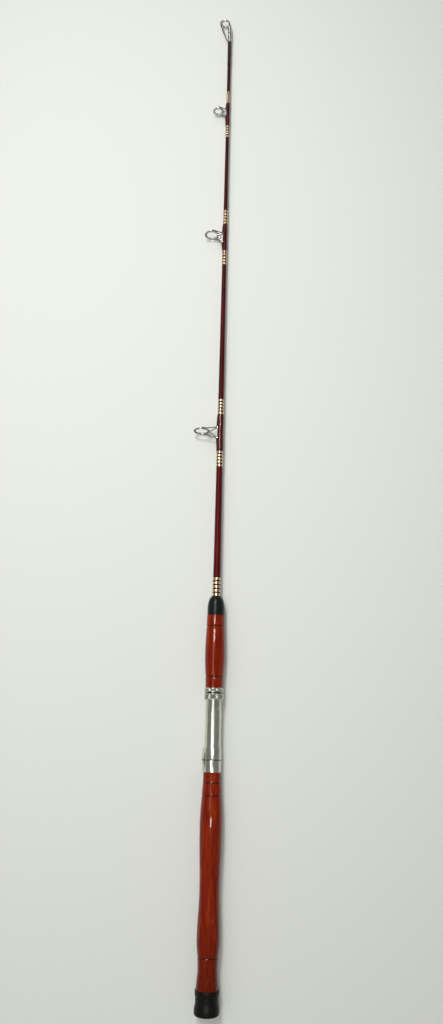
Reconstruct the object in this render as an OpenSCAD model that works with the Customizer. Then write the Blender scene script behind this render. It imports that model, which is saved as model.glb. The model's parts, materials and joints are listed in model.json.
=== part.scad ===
// Spinning rod of the boat style: glass tube blank, turned wood grips, screw-locking metal reel
// seat, three bridged wire guides and a braced tip-top.
// The rod's axis lies along +Y with the butt's end face at the origin. The guides point to -X.

/* [Rod] */
// Overall length, from the butt's end face to the front of the tip ring
rod_l = 1829; // [1500:1:2200]
// Diameter of the blank inside the handle
blank_d = 12.6; // [10.5:0.1:15]
// Diameter of the blank at its tip
blank_tip_d = 6; // [5:0.1:7.2]
// Wall of the blank
blank_wall = 1.4; // [1:0.1:2]
// How fast the blank thins: 1 is a plain cone, more thins it nearer the handle
blank_taper = 1.5; // [1:0.1:2]

/* [Butt cap] */
// Length of the rubber cap
cap_l = 34; // [25:1:45]
// Largest diameter of the cap, near its end
cap_d = 37.6; // [35:0.2:48]
// Wall of the cap's skirt
cap_wall = 2; // [1.6:0.1:3]
// Thickness of the cap's floor
cap_floor = 8; // [5:0.5:12]

/* [Grips] */
// Exposed length of the rear grip
rear_grip_l = 305; // [250:1:370]
// Largest diameter of the rear grip's two swells
rear_swell_d = 35; // [33:0.2:42]
// Diameter of the rear grip's waist
rear_waist_d = 30.7; // [28:0.2:33]
// Exposed length of the fore grip
fore_grip_l = 117.5; // [95:0.5:145]
// Largest diameter of the fore grip
fore_swell_d = 32.6; // [30:0.2:40]
// Diameter at which both grips meet the reel seat
grip_end_d = 28.4; // [27.5:0.2:34]
// Width of the decorative turned grooves
groove_w = 1.6; // [1:0.1:2.5]
// Depth of the decorative turned grooves
groove_depth = 0.7; // [0.4:0.1:1]
// Length of the black winding check in front of the fore grip
check_l = 33; // [25:1:42]

/* [Reel seat] */
// Outside diameter of the seat's barrel
barrel_d = 26; // [22:0.2:28]
// Wall of the seat's barrel
barrel_wall = 1.2; // [1:0.1:1.6]
// Length of each hood
hood_l = 18.4; // [14:0.2:24]
// Wall of each hood
hood_wall = 1.1; // [0.8:0.1:1.4]
// Room that a hood leaves for the reel foot's end
foot_t = 3; // [2:0.1:4]
// Clear barrel between the parked hood and the rear nut
clear_l = 73.5; // [60:0.5:95]
// Length of the thread behind the rear nut
free_thread_l = 16; // [12:0.5:24]
// Distance from one thread to the next
thread_pitch = 1.6; // [1:0.1:2]
// Depth of the thread
thread_depth = 0.5; // [0.3:0.05:0.6]
// Outside diameter of both nuts
nut_d = 31.2; // [29:0.2:35]
// Length of the rear nut, which pushes the hood
lock_nut_l = 11; // [8:0.2:15]
// Length of the front nut, which locks the first one
jam_nut_l = 7.2; // [5:0.2:10]
// Thickness of the keyed washer between the nuts
washer_t = 1; // [0.8:0.1:2]
// Width of the keyway along the barrel
keyway_w = 3; // [2:0.1:4]
// Length of each bush that carries the barrel on the blank
bush_l = 20; // [12:1:28]

/* [Wraps] */
// Thickness of the thread and varnish over the blank
wrap_t = 0.45; // [0.3:0.05:0.7]
// Length of the banded wrap in front of the winding check
butt_wrap_l = 31; // [20:1:45]
// Length of the banded trim at each end of the stripper guide
stripper_trim_l = 28.5; // [18:0.5:36]
// Length of the banded trim at each end of the middle guide
middle_trim_l = 30; // [18:0.5:36]
// Length of the banded trim at each end of the front guide
front_trim_l = 26.8; // [18:0.5:34]
// Length of the dark wrap behind the tip-top
tip_wrap_l = 58; // [30:1:70]

/* [Guides] */
// Stripper guide's place, as a percentage of the bare blank from the winding check to the tip
stripper_place = 24.5; // [18:0.1:32]
// Middle guide's place, counted the same way
middle_place = 57.8; // [50:0.1:64]
// Front guide's place, counted the same way
front_place = 81.6; // [77:0.1:86]
// Outside diameter of the stripper guide's ring
stripper_ring_d = 29; // [24:0.5:35]
// Outside diameter of the middle guide's ring
middle_ring_d = 27.8; // [22:0.2:33.4]
// Outside diameter of the front guide's ring
front_ring_d = 21.4; // [17:0.2:26]
// Distance of the stripper ring's centre from the rod's axis
stripper_stand = 33; // [28:0.5:40]
// Distance of the middle ring's centre from the rod's axis
middle_stand = 24.7; // [20.5:0.1:30]
// Distance of the front ring's centre from the rod's axis
front_stand = 19; // [16:0.5:23]
// Thickness of the guides' rings
ring_wire_d = 2.4; // [1.8:0.1:3]
// Thickness of the wires that carry the rings
leg_wire_d = 1.8; // [1.2:0.1:2.2]
// Width of a guide's flattened foot
foot_w = 4; // [3:0.2:5]

/* [Tip-top] */
// Outside diameter of the tip ring
tip_ring_d = 20; // [16:0.5:24]
// Thickness of the tip ring
tip_wire_d = 2.2; // [1.8:0.1:2.6]
// Distance of the tip ring's centre from the rod's axis
tip_stand = 8.9; // [7:0.1:11]
// Outside diameter of the tip-top's tube
tip_tube_d = 7.6; // [7.2:0.1:9]
// Length of the tip-top's tube and its soldered nose
tip_tube_l = 47; // [35:1:60]
// Thickness of the wires that brace the tip ring
stay_d = 1.5; // [1:0.1:1.8]

/* [Fits] */
// Radial room for glue between the blank, its bushes and its grips
glue_gap = 0.05; // [0.02:0.01:0.15]
// Radial running clearance of the hood, washer and nuts on the barrel
run_gap = 0.08; // [0.02:0.01:0.1]
// Space between the faces of pieces that turn or slide past each other
face_gap = 0.15; // [0.05:0.05:0.4]
// Space between a wire and the ring that it is soldered to
solder_gap = 0.02; // [0.01:0.01:0.05]

/* [Hidden] */

ROUND = 96;
WIRE_ROUND = 24;
// A cut runs this far past the faces that it opens
OVER = 1;
// Steps in which each swell of a turned outline is drawn
TURN_STEPS = 8;

// Radii
blank_r = blank_d / 2;
handle_bore_r = blank_r + glue_gap;
barrel_r = barrel_d / 2;
barrel_bore_r = barrel_r - barrel_wall;
hood_bore_r = barrel_r + run_gap;
hood_r = hood_bore_r + hood_wall;
nut_r = nut_d / 2;
grip_end_r = grip_end_d / 2;
cap_r = cap_d / 2;
cap_rim_r = cap_r - 0.7;
cap_rim_l = 5;
cap_rim_round = 1.1;
cap_waist_r = cap_r - 1.3;
cap_waist = [cap_l * 0.42, cap_l * 0.72];
cap_socket_r = cap_waist_r - cap_wall;
cap_face_r = cap_r - 6;
cap_edge = 5;
cap_edge_l = 4;
cap_edge_round = 1.6;
spigot_r = cap_socket_r - glue_gap;

// Stations along the rod, from the butt
seat_y = cap_l + rear_grip_l;
mouth_y = seat_y + hood_l;
hood_y = mouth_y + 2 * face_gap;
nut_y = hood_y + hood_l + clear_l;
washer_y = nut_y + lock_nut_l + face_gap;
jam_y = washer_y + washer_t + face_gap;
fore_y = jam_y + jam_nut_l + 2 * face_gap;
check_y = fore_y + fore_grip_l;
bare_y = check_y + check_l;
tip_ring_y = rod_l - tip_wire_d / 2;
nose_y = tip_ring_y - tip_wire_d / 2 - solder_gap;
tip_tube_y = nose_y - tip_tube_l;
nose_l = 9;
nose_r = 1.5;
tube_plug_l = 4;
blank_end_y = nose_y - nose_l - tube_plug_l;
stripper_y = bare_y + (tip_ring_y - bare_y) * stripper_place / 100;
middle_y = bare_y + (tip_ring_y - bare_y) * middle_place / 100;
front_y = bare_y + (tip_ring_y - bare_y) * front_place / 100;

// Each guide: ring's station, ring's outer diameter, stand-off, then the distances from the ring's
// plane to the front and rear wraps and the lengths of those wraps, and the trim's length
stripper = [stripper_y, stripper_ring_d, stripper_stand, 9, 13.8, 23, 24.5, stripper_trim_l];
middle = [middle_y, middle_ring_d, middle_stand, 6, 16.7, 18, 18.5, middle_trim_l];
front = [front_y, front_ring_d, front_stand, 6.5, 11.5, 13.5, 24.5, front_trim_l];
function guide_y(g) = g[0];
function ring_r(g) = (g[1] - ring_wire_d) / 2;
function stand(g) = g[2];
function reach(g, side) = side > 0 ? g[3] : g[4];
function wrap_l(g, side) = side > 0 ? g[5] : g[6];
function trim_l(g) = g[7];

// Radius of the blank at a station
blank_steps = 24;
function bare_share(y) = max(0, min(1, (y - bare_y) / (blank_end_y - bare_y)));
function step_r(n) = (blank_tip_d + (blank_d - blank_tip_d) * pow(1 - n / blank_steps, blank_taper)) / 2;
function mixed(a, b, t) = a + (b - a) * t;
function blank_at(y) = let (u = bare_share(y) * blank_steps, n = min(floor(u), blank_steps - 1))
  mixed(step_r(n), step_r(n + 1), u - n);

// A turned outline: the radius swings smoothly from each [station, radius] of keys to the next
function eased(a, b, t) = a + (b - a) * (1 - cos(180 * t)) / 2;
function turned(keys) = concat(
  [for (k = [0 : len(keys) - 2], n = [0 : TURN_STEPS - 1])
    [eased(keys[k][1], keys[k + 1][1], n / TURN_STEPS),
      keys[k][0] + (keys[k + 1][0] - keys[k][0]) * n / TURN_STEPS]],
  [[keys[len(keys) - 1][1], keys[len(keys) - 1][0]]]);

// Radius of that outline at a station
function turned_at(keys, y) = let (k = [for (n = [0 : len(keys) - 2]) if (y >= keys[n][0]) n],
  n = k[len(k) - 1], t = (y - keys[n][0]) / (keys[n + 1][0] - keys[n][0]))
  eased(keys[n][1], keys[n + 1][1], t);

// Turns a shape that stands on +Z so that it points along the rod
module along(y) translate([0, y, 0]) rotate([-90, 0, 0]) children();

module spun(points) along(0) rotate_extrude($fn = ROUND) polygon(points);

module sleeve(y, l, outer_r, inner_r) difference() {
  along(y) cylinder(h = l, r = outer_r, $fn = ROUND);
  along(y - OVER) cylinder(h = l + 2 * OVER, r = inner_r, $fn = ROUND);
}

// A sleeve over the tapering blank
module blank_sleeve(y, l, t) difference() {
  along(y) cylinder(h = l, r1 = blank_at(y) + t, r2 = blank_at(y + l) + t, $fn = ROUND);
  along(y - OVER) cylinder(h = l + 2 * OVER, r1 = blank_at(y - OVER) + glue_gap,
    r2 = blank_at(y + l + OVER) + glue_gap, $fn = ROUND);
}

module turned_groove(y, r) along(y) rotate_extrude($fn = ROUND)
  polygon([[r - groove_depth, 0], [r + OVER, -groove_w], [r + OVER, groove_w]]);

// A round wire from a to b
module wire(a, b, d) {
  run = b - a;
  translate(a) rotate([0, acos(run[2] / norm(run)), atan2(run[1], run[0])])
    cylinder(h = norm(run), d = d, $fn = WIRE_ROUND);
}

module bead(p, d) translate(p) sphere(d = d, $fn = WIRE_ROUND);

module hoop(y, x, centre_r, d) translate([x, y, 0]) rotate([90, 0, 0])
  rotate_extrude($fn = ROUND) translate([centre_r, 0]) circle(d = d, $fn = WIRE_ROUND);

// The part of a hoop between two angles, counted from +X towards +Z
module hoop_arc(y, x, centre_r, d, from, to) intersection() {
  hoop(y, x, centre_r, d);
  translate([x, y + d, 0]) rotate([90, 0, 0]) linear_extrude(2 * d)
    polygon(concat([[0, 0]], [for (n = [0 : 6])
      2 * centre_r * [cos(mixed(from, to, n / 6)), sin(mixed(from, to, n / 6))]]));
}

// ---- handle ----

module butt_cap() color([0.06, 0.06, 0.06]) difference() {
  spun([[0, 0], [cap_face_r, 0], [cap_r - cap_edge_round, cap_edge_round], [cap_r, cap_edge],
    [cap_r, cap_edge + cap_edge_l], [cap_waist_r, cap_waist[0]], [cap_waist_r, cap_waist[1]],
    [cap_rim_r, cap_l - cap_rim_l], [cap_rim_r, cap_l - cap_rim_round],
    [cap_rim_r - cap_rim_round, cap_l], [0, cap_l]]);
  along(cap_floor) cylinder(h = cap_l, r = cap_socket_r, $fn = ROUND);
}

// Stations and radii between which the grips' outlines swing
neck_from_cap = 26.5;
neck_r = rear_waist_d / 2 - 0.4;
flare_r = cap_rim_r - 1.3;
lower_swell_from_cap = 69;
waist_share = 0.426;
upper_swell_share = 0.74;
fore_swell_share = 0.46;
rear_keys = [[cap_l, flare_r], [cap_l + neck_from_cap, neck_r],
  [cap_l + lower_swell_from_cap, rear_swell_d / 2],
  [cap_l + rear_grip_l * waist_share, rear_waist_d / 2],
  [cap_l + rear_grip_l * upper_swell_share, rear_swell_d / 2], [seat_y, grip_end_r]];
fore_keys = [[fore_y, grip_end_r],
  [fore_y + fore_grip_l * fore_swell_share, fore_swell_d / 2], [check_y, grip_end_r + 0.4]];
rear_grooves = [cap_l + 43, seat_y - 34.7, seat_y - 16];
fore_grooves = [fore_y + 17.5, check_y - 18];

module rear_grip() color([0.45, 0.13, 0.03]) difference() {
  spun(concat([[0, cap_floor], [spigot_r, cap_floor], [spigot_r, cap_l]], turned(rear_keys),
    [[0, seat_y]]));
  along(0) cylinder(h = seat_y + OVER, r = handle_bore_r, $fn = ROUND);
  for (y = rear_grooves) turned_groove(y, turned_at(rear_keys, y));
}

module fore_grip() color([0.45, 0.13, 0.03]) difference() {
  spun(concat([[0, fore_y]], turned(fore_keys), [[0, check_y]]));
  along(fore_y - OVER) cylinder(h = fore_grip_l + 2 * OVER, r = handle_bore_r, $fn = ROUND);
  for (y = fore_grooves) turned_groove(y, turned_at(fore_keys, y));
}

check_r = grip_end_r;

// The check's shoulder is an elliptic arc from the fore grip's face to the bare blank
check_land = 14;
check_lip = 1.2;
check_nose_r = blank_r + check_lip;
function check_outline(n) = [for (k = [0 : n])
  [check_nose_r + (check_r - check_nose_r) * cos(90 * k / n),
    check_y + check_land + (check_l - check_land) * sin(90 * k / n)]];

module winding_check() color([0.05, 0.05, 0.05]) difference() {
  spun(concat([[0, check_y], [check_r, check_y]], check_outline(10), [[0, bare_y]]));
  along(check_y - OVER) cylinder(h = check_l + 2 * OVER, r = handle_bore_r, $fn = ROUND);
}

// ---- reel seat ----

thread_y = nut_y - free_thread_l;
thread_turns = floor((fore_y - thread_y) / thread_pitch) - 1;
root_r = barrel_r - thread_depth;

module seat_barrel() color([0.72, 0.73, 0.70]) difference() {
  spun(concat([[barrel_bore_r, seat_y], [barrel_r, seat_y]],
    [for (k = [0 : thread_turns - 1], half = [0, 0.5])
      [half == 0 ? barrel_r : root_r, thread_y + (k + half) * thread_pitch]],
    [[barrel_r, thread_y + thread_turns * thread_pitch], [barrel_r, fore_y],
      [barrel_bore_r, fore_y]]));
  // the keyway runs from in front of the fixed hood to the barrel's front end
  translate([barrel_bore_r - OVER, mouth_y, -keyway_w / 2])
    cube([barrel_wall + 2 * OVER, fore_y - mouth_y + OVER, keyway_w]);
  along(seat_y + hood_l / 2) rotate([0, 90, 0]) cylinder(h = hood_r, d = pin_d, $fn = WIRE_ROUND);
}

// A hood is a sleeve on the barrel with a raised dome on the guides' side. The dome leans from its
// mouth down to its closed end. dir is +1 where the mouth faces the tip.
dome_r = 9.5;
dome_lean = 1.8;
dome_out = barrel_r + foot_t + hood_wall;
end_wall = 2.5;

module dome(y_mouth, dir, r, l) intersection() {
  translate([dome_r - dome_out, y_mouth, 0]) rotate([0, 0, dir * atan(dome_lean / hood_l)])
    rotate([-90, 0, 0]) translate([0, 0, -2 * hood_l]) cylinder(h = 4 * hood_l, r = r, $fn = ROUND);
  along(dir > 0 ? y_mouth - l : y_mouth) cylinder(h = l, r = barrel_d, $fn = ROUND);
}

module hood(y_mouth, dir) difference() {
  union() {
    along(dir > 0 ? y_mouth - hood_l : y_mouth) cylinder(h = hood_l, r = hood_r, $fn = ROUND);
    dome(y_mouth, dir, dome_r, hood_l);
  }
  along(dir > 0 ? y_mouth - hood_l - OVER : y_mouth - OVER)
    cylinder(h = hood_l + 2 * OVER, r = hood_bore_r, $fn = ROUND);
  dome(y_mouth + dir * OVER, dir, dome_r - hood_wall, hood_l + OVER - end_wall);
}

pin_d = 2.4;
pin_head = 0.3;
pin_y = seat_y + hood_l / 2;

module fixed_hood() color([0.78, 0.79, 0.76]) difference() {
  hood(mouth_y, 1);
  along(pin_y) rotate([0, 90, 0]) cylinder(h = 2 * hood_r, d = pin_d, $fn = WIRE_ROUND);
}

// The pin holds the fixed hood to the barrel, on the side away from the guides
module hood_pin() color([0.6, 0.6, 0.58])
  translate([barrel_bore_r, pin_y, 0]) rotate([0, 90, 0])
    cylinder(h = hood_r - barrel_bore_r + pin_head, d = pin_d - 2 * glue_gap, $fn = WIRE_ROUND);

// A tongue that slides in the barrel's keyway and reaches into the ring that it belongs to
key_depth = 0.8;
key_root = 0.4;
module key(y, l) translate([barrel_r - key_depth, y, -keyway_w / 2 + run_gap])
  cube([key_depth + run_gap + key_root, l, keyway_w - 2 * run_gap]);

module sliding_hood() color([0.78, 0.79, 0.76]) union() {
  hood(hood_y, -1);
  key(hood_y, hood_l);
}

nut_chamfer = 1;

module nut_blank(y, l) difference() {
  spun([[0, y], [nut_r - nut_chamfer, y], [nut_r, y + nut_chamfer], [nut_r, y + l - nut_chamfer],
    [nut_r - nut_chamfer, y + l], [0, y + l]]);
  along(y - OVER) cylinder(h = l + 2 * OVER, r = hood_bore_r, $fn = ROUND);
}

module lock_nut() color([0.70, 0.70, 0.66]) nut_blank(nut_y, lock_nut_l);

module jam_nut() color([0.70, 0.70, 0.66]) nut_blank(jam_y, jam_nut_l);

module key_washer() color([0.1, 0.1, 0.1]) union() {
  sleeve(washer_y, washer_t, nut_r - nut_chamfer, hood_bore_r);
  key(washer_y, washer_t);
}

module bush(y) color([0.6, 0.45, 0.3])
  sleeve(y, bush_l, barrel_bore_r - glue_gap, handle_bore_r);

bush_inset = 4;
module rear_bush() bush(seat_y + bush_inset);
module middle_bush() bush((seat_y + fore_y - bush_l) / 2);
module front_bush() bush(fore_y - bush_inset - bush_l);

// ---- blank and wraps ----

function blank_station(n) = bare_y + (blank_end_y - bare_y) * n / blank_steps;

module blank() color([0.32, 0.05, 0.08]) difference() {
  spun(concat([[0, cap_floor], [blank_r, cap_floor]],
    [for (n = [0 : blank_steps]) [step_r(n), blank_station(n)]],
    [[0, blank_end_y]]));
  spun(concat([[0, cap_floor - OVER], [blank_r - blank_wall, cap_floor - OVER]],
    [for (n = [0 : blank_steps]) [step_r(n) - blank_wall, blank_station(n)]],
    [[blank_tip_d / 2 - blank_wall, blank_end_y + OVER], [0, blank_end_y + OVER]]));
}

module butt_wrap() color([0.75, 0.6, 0.35])
  blank_sleeve(bare_y, butt_wrap_l, wrap_t);

// ---- guides ----

// side is +1 for the front leg and -1 for the rear one
function foot_y(g, side) = guide_y(g) + side * reach(g, side);
foot_cover = 1.5;
function foot_l(g, side) = wrap_l(g, side) - foot_cover;
foot_root_t = 1.7;
foot_tip_t = 0.5;
leg_spread = 1.15;
joint_bead = 1.08;
// Where a wire lies against the outside of the ring
nest_y = leg_wire_d / 2 + 0.1;
nest_gap = ring_wire_d / 2 + leg_wire_d * joint_bead / 2 + solder_gap;
nest_end = 98;
function nest_r(g) = ring_r(g) + sqrt(nest_gap * nest_gap - nest_y * nest_y);
function nest_point(g, side, angle) = [nest_r(g) * cos(angle) - stand(g),
  guide_y(g) + side * nest_y, nest_r(g) * sin(angle)];
// Where a leg starts on its foot, and the angle at which it leaves the ring as a tangent
function root_x(g, side) = -blank_at(foot_y(g, side)) - foot_root_t / 2;
function leg_angle(g, side) = let (dx = stand(g) + root_x(g, side))
  acos(nest_r(g) / norm([dx, leg_spread])) + atan(leg_spread / dx);

// A round bar that leans with the foot's top, cut square at two stations
module foot_bar(g, side, r, from_y, to_y) {
  y0 = foot_y(g, side);
  y1 = y0 + side * foot_l(g, side);
  near_x = foot_w / 2 - blank_at(y0) - foot_root_t;
  far_x = foot_w / 2 - blank_at(y1) - foot_tip_t;
  intersection() {
    translate([near_x, y0, 0]) rotate([0, 0, -atan((far_x - near_x) / (y1 - y0))])
      rotate([-90, 0, 0]) translate([0, 0, -2 * foot_l(g, side)])
        cylinder(h = 4 * foot_l(g, side), r = r, $fn = ROUND);
    along(min(from_y, to_y)) cylinder(h = abs(to_y - from_y), r = 2 * blank_r, $fn = ROUND);
  }
}

// Room for the blank between two stations
module blank_room(from_y, to_y) along(min(from_y, to_y))
  cylinder(h = abs(to_y - from_y), $fn = ROUND, r1 = blank_at(min(from_y, to_y)) + glue_gap,
    r2 = blank_at(max(from_y, to_y)) + glue_gap);

// The flattened foot lies on the blank under its wrap
module foot(g, side) {
  root_y = foot_y(g, side) - side * 2 * foot_lip;
  end_y = foot_y(g, side) + side * foot_l(g, side);
  difference() {
    foot_bar(g, side, foot_w / 2, root_y, end_y);
    blank_room(root_y - side * OVER, end_y + side * OVER);
  }
}

foot_lip = leg_wire_d / 2 + 0.3;
module half_leg(g, side) {
  root = [root_x(g, side), foot_y(g, side) - side * foot_lip, leg_spread];
  top = nest_point(g, side, leg_angle(g, side));
  wire(root, top, leg_wire_d);
  bead(top, leg_wire_d * joint_bead);
  hoop_arc(guide_y(g) + side * nest_y, -stand(g), nest_r(g), leg_wire_d, leg_angle(g, side),
    nest_end);
}

module leg(g, side) color([0.80, 0.81, 0.80]) union() {
  foot(g, side);
  half_leg(g, side);
  mirror([0, 0, 1]) half_leg(g, side);
}

module ring(g) color([0.80, 0.81, 0.80]) hoop(guide_y(g), -stand(g), ring_r(g), ring_wire_d);

// Thread over a foot: a sleeve on the blank with a ridge where the foot lies
module foot_wrap(g, side) color([0.30, 0.04, 0.08]) {
  y0 = foot_y(g, side);
  y1 = y0 + side * wrap_l(g, side);
  low = min(y0, y1);
  high = max(y0, y1);
  difference() {
    union() {
      along(low) cylinder(h = high - low, r1 = blank_at(low) + wrap_t, r2 = blank_at(high) + wrap_t,
        $fn = ROUND);
      foot_bar(g, side, foot_w / 2 + wrap_t, low, high);
    }
    blank_room(low - OVER, high + OVER);
    foot_bar(g, side, foot_w / 2 + glue_gap, y0 - side * OVER,
      y0 + side * (foot_l(g, side) + glue_gap));
  }
}

module trim(g, side) color([0.72, 0.56, 0.30]) {
  start = guide_y(g) + side * (reach(g, side) + wrap_l(g, side));
  blank_sleeve(side > 0 ? start : start - trim_l(g), trim_l(g), wrap_t);
}

module stripper_ring() ring(stripper);
module stripper_front_leg() leg(stripper, 1);
module stripper_rear_leg() leg(stripper, -1);
module stripper_front_wrap() foot_wrap(stripper, 1);
module stripper_rear_wrap() foot_wrap(stripper, -1);
module stripper_front_trim() trim(stripper, 1);
module stripper_rear_trim() trim(stripper, -1);

module middle_ring() ring(middle);
module middle_front_leg() leg(middle, 1);
module middle_rear_leg() leg(middle, -1);
module middle_front_wrap() foot_wrap(middle, 1);
module middle_rear_wrap() foot_wrap(middle, -1);
module middle_front_trim() trim(middle, 1);
module middle_rear_trim() trim(middle, -1);

module front_ring() ring(front);
module front_front_leg() leg(front, 1);
module front_rear_leg() leg(front, -1);
module front_front_wrap() foot_wrap(front, 1);
module front_rear_wrap() foot_wrap(front, -1);
module front_front_trim() trim(front, 1);
module front_rear_trim() trim(front, -1);

// ---- tip-top ----

tip_tube_r = tip_tube_d / 2;

module tip_tube() color([0.70, 0.71, 0.68]) difference() {
  spun([[0, tip_tube_y], [tip_tube_r, tip_tube_y], [tip_tube_r, nose_y - nose_l],
    [nose_r, nose_y], [0, nose_y]]);
  along(tip_tube_y - OVER) cylinder(h = blank_end_y - tip_tube_y + OVER + glue_gap,
    r = blank_at(tip_tube_y) + glue_gap, $fn = ROUND);
}

tip_ring_r = (tip_ring_d - tip_wire_d) / 2;

module tip_ring() color([0.80, 0.81, 0.80])
  hoop(tip_ring_y, -tip_stand, tip_ring_r, tip_wire_d);

// Two stays run from the tube's rear end to a wire that lies round the outside of the ring
stay_inset = 4;
stay_rear_y = tip_tube_y + stay_inset;
stay_wrap_r = tip_ring_r + tip_wire_d / 2 + stay_d * joint_bead / 2 + solder_gap;
stay_arc = 104;
stay_hold = 20;
stay_spread = 0.9;
module half_stay() {
  hold = [stay_wrap_r * cos(180 - stay_hold) - tip_stand, tip_ring_y,
    stay_wrap_r * sin(180 - stay_hold)];
  wire([-tip_tube_r - stay_d / 2 - solder_gap, stay_rear_y, stay_spread], hold, stay_d);
  bead(hold, stay_d * joint_bead);
}

module tip_stays() color([0.80, 0.81, 0.80]) union() {
  hoop_arc(tip_ring_y, -tip_stand, stay_wrap_r, stay_d, 180 - stay_arc / 2, 180 + stay_arc / 2);
  half_stay();
  mirror([0, 0, 1]) half_stay();
}

module tip_wrap() color([0.12, 0.06, 0.06])
  blank_sleeve(tip_tube_y - tip_wrap_l, tip_wrap_l - solder_gap, wrap_t);

butt_cap();
rear_grip();
seat_barrel();
fixed_hood();
hood_pin();
sliding_hood();
lock_nut();
key_washer();
jam_nut();
rear_bush();
middle_bush();
front_bush();
fore_grip();
winding_check();
blank();
butt_wrap();
stripper_ring();
stripper_front_leg();
stripper_rear_leg();
stripper_front_wrap();
stripper_rear_wrap();
stripper_front_trim();
stripper_rear_trim();
middle_ring();
middle_front_leg();
middle_rear_leg();
middle_front_wrap();
middle_rear_wrap();
middle_front_trim();
middle_rear_trim();
front_ring();
front_front_leg();
front_rear_leg();
front_front_wrap();
front_rear_wrap();
front_front_trim();
front_rear_trim();
tip_tube();
tip_ring();
tip_stays();
tip_wrap();
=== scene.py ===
# %% [markdown]
# # A boat-style spinning rod
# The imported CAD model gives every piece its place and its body. Blender adds what CAD leaves out:
# turned wood under varnish, thread wraps, a real screw thread and knurl, and a light that shows them.
# The rod's axis is Y, with the butt at 0. The guides stand out towards -X, and Z is up.

# %% Load the frame
import json
import math

import bpy
from mathutils import Matrix, Vector


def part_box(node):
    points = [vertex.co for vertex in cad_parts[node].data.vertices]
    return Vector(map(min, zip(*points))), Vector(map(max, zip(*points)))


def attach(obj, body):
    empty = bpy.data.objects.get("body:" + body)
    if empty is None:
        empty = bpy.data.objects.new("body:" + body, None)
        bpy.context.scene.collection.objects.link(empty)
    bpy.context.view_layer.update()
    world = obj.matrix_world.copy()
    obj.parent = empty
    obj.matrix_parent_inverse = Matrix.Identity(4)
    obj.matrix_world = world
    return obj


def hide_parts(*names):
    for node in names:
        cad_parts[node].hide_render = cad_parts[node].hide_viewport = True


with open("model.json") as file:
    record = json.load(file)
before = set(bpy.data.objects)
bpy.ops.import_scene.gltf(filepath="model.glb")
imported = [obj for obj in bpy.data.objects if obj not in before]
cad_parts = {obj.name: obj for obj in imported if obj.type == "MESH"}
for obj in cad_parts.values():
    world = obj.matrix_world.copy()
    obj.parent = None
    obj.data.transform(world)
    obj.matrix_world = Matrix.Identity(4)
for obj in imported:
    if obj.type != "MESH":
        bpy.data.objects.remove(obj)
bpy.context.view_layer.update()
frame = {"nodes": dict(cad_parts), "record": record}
nodes = frame["nodes"]
MM = 0.001

# %% [markdown]
# ## Measuring the frame
# Pieces fit the CAD because they take their sizes from it. Most of the rod is turned about one
# axis, so a node's outline is the largest radius at each station along that axis. Stations and
# radii are in millimetres here, because a maker thinks in them, and MM turns them into metres.


# %% Measures
def start(name):
    """Station of a node's end nearest the butt."""
    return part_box(name)[0][1] / MM


def end(name):
    """Station of a node's end nearest the tip."""
    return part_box(name)[1][1] / MM


def radii(name):
    """(station, radius) of every vertex of a node."""
    return [(v.co.y / MM, math.hypot(v.co.x, v.co.z) / MM) for v in nodes[name].data.vertices]


def outer_radius(name):
    return max(radius for _, radius in radii(name))


def inner_radius(name):
    return min(radius for _, radius in radii(name))


def outline_of(name):
    """Largest radius at each station that has vertices, sorted along the rod."""
    largest = {}
    for station, radius in radii(name):
        station = round(station, 2)
        largest[station] = max(radius, largest.get(station, 0))
    return sorted(largest.items())


def radius_at(outline, station):
    """Radius of an outline at a station, on the straight line between its neighbours."""
    before = max((p for p in outline if p[0] <= station), default=outline[0])
    after = min((p for p in outline if p[0] >= station), default=outline[-1])
    if after[0] == before[0]:
        return before[1]
    share = (station - before[0]) / (after[0] - before[0])
    return before[1] + share * (after[1] - before[1])


def falling(outline):
    """The points of an outline that only gets thinner towards the tip, without inner vertices."""
    kept = [outline[-1]]
    for point in reversed(outline):
        if point[1] > kept[-1][1]:
            kept.append(point)
    return kept[::-1]


blank_outline = falling(outline_of("blank"))
print(f"blank: {radius_at(blank_outline, end('butt_wrap')):.2f} mm to "
      f"{radius_at(blank_outline, start('tip_wrap')):.2f} mm in radius")

# %% [markdown]
# ## Camera
# The camera hangs over the handle and leans towards the tip. So near, and with a moderately wide
# lens, it makes the handle large and the tip small, as they are to someone who stands at a table.

# %% Camera
CAMERA_PLACE = (0.0137, 0.3888, 1.328)
CAMERA_PITCH = 15.9
CAMERA_YAW = 1.25
LENS = 28.1
CLIP_START = 0.01
bpy.ops.object.camera_add(
    location=CAMERA_PLACE,
    rotation=(math.radians(CAMERA_PITCH), 0, math.radians(CAMERA_YAW)),
)
camera = bpy.context.object
camera.data.lens = LENS
camera.data.clip_start = CLIP_START
bpy.context.scene.camera = camera
print(f"camera {CAMERA_PLACE[2]:.2f} m up, leaning {CAMERA_PITCH} degrees towards the tip")

# %% [markdown]
# ## Table
# The rod lies on its cap and on the middle guide's ring, so the table's plane passes just under
# both, and it leans about a fifth of a degree to the rod's axis. Leaning the table keeps the rod
# where the CAD has it.

# %% Table
TABLE_SIDE = 16
TABLE_GAP = 0.05
CAP_REST = 7
cap_bottom = Vector((0, start("butt_cap") + CAP_REST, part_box("butt_cap")[0][2] / MM)) * MM
ring_bottom = Vector((0, start("middle_ring"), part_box("middle_ring")[0][2] / MM)) * MM
table_slope = (ring_bottom.z - cap_bottom.z) / (ring_bottom.y - cap_bottom.y)
bpy.ops.mesh.primitive_plane_add(size=TABLE_SIDE, location=(0, 0, 0))
table = bpy.context.object
table.name = "table"
for vertex in table.data.vertices:
    vertex.co.z = cap_bottom.z + table_slope * (vertex.co.y - cap_bottom.y) - TABLE_GAP * MM
print(f"table leans {math.degrees(math.atan(table_slope)):.2f} degrees")

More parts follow.
